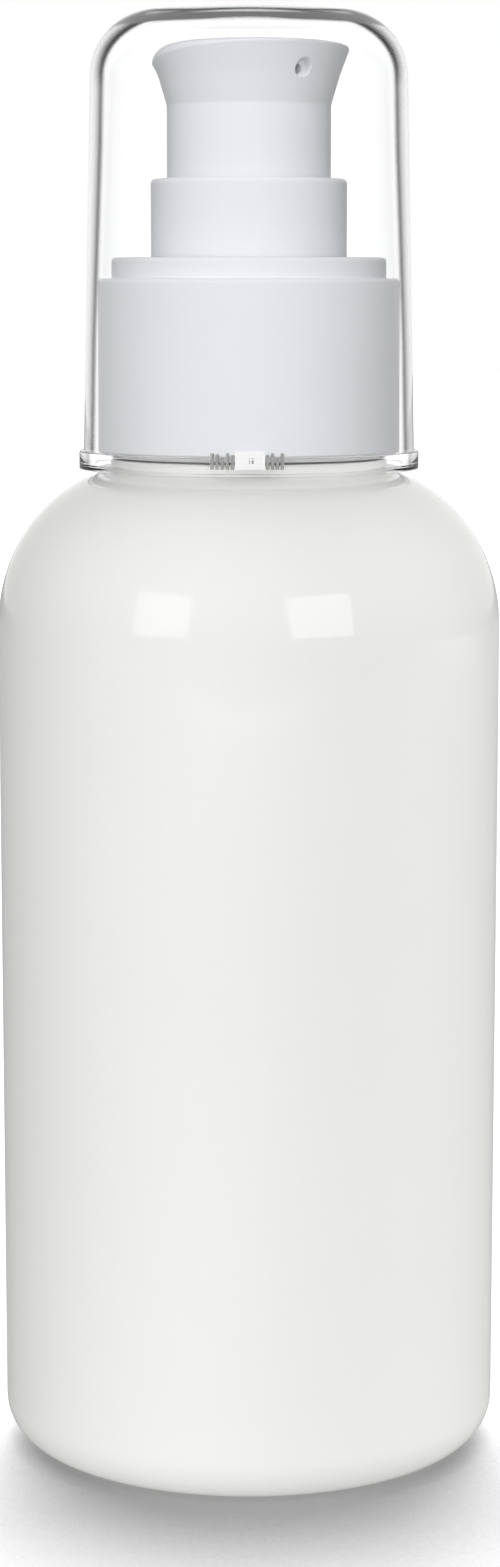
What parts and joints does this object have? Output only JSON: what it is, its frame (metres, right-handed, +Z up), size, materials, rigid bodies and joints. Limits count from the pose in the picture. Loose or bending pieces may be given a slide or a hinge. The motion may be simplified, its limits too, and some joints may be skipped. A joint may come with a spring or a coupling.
{
  "type": "lotion pump bottle",
  "caption": "Round blown bottle with a finger pump on its screwed neck, dip tube, spring and valve inside, and a clear lift-off overcap.",
  "frame": {"origin": "centre of the base ring, on the surface that the bottle stands on", "axes": "+Z up along the axis of bottle and pump, nozzle towards -Y"},
  "size_m": [0.047, 0.047, 0.1357],
  "materials": {
    "bottle": "glossy warm white",
    "overcap": "clear, polished",
    "closure": "satin white",
    "guide_collar": "satin white",
    "actuator_head": "satin white",
    "natural_plastic": "natural, slightly milky",
    "gasket": "soft liner",
    "piston": "soft white",
    "dip_tube": "natural tube",
    "return_spring": "bright spring wire",
    "inlet_ball": "polished"
  },
  "bodies": {
    "bottle": {"bottle": "bottle"},
    "pump": {"housing": "natural_plastic", "guide_collar": "guide_collar", "gasket": "gasket", "dip_tube": "dip_tube", "ball_cage": "natural_plastic", "return_spring": "return_spring"},
    "closure": {"closure": "closure"},
    "overcap": {"overcap": "overcap"},
    "plunger": {"plunger_rod": "natural_plastic"},
    "actuator": {"actuator_head": "actuator_head", "stem": "natural_plastic"},
    "piston": {"piston": "piston"},
    "inlet_ball": {"inlet_ball": "inlet_ball"}
  },
  "joints": [
    {"name": "pump_lift", "type": "slide", "parent": "bottle", "child": "pump", "axis": [0, 0, 1], "range_m": [0, 0.0048]},
    {"name": "closure_turn", "type": "hinge", "parent": "pump", "child": "closure", "pos_m": [0, 0, 0.1], "axis": [0, 0, 1], "range_deg": [0, 540]},
    {"name": "overcap_lift", "type": "slide", "parent": "closure", "child": "overcap", "axis": [0, 0, 1], "range_m": [0, 0.055]},
    {"name": "pump_stroke", "type": "slide", "parent": "pump", "child": "plunger", "axis": [0, 0, -1], "range_m": [0, 0.006], "stiffness_N_per_m": 600, "springref_m": -0.008, "deforming": ["return_spring"]},
    {"name": "actuator_swivel", "type": "hinge", "parent": "plunger", "child": "actuator", "pos_m": [0, 0, 0.118], "axis": [0, 0, 1], "continuous": true},
    {"name": "piston_follow", "type": "slide", "parent": "pump", "child": "piston", "axis": [0, 0, -1], "range_m": [0, 0.0052]},
    {"name": "inlet_ball_lift", "type": "slide", "parent": "pump", "child": "inlet_ball", "axis": [0, 0, 1], "range_m": [0, 0.0015]}
  ],
  "couplings": [
    {"joint": "pump_lift", "follows": "closure_turn", "m_per_rad": 0.00050531},
    {"joint": "piston_follow", "follows": "pump_stroke", "ratio": 0.85}
  ]
}
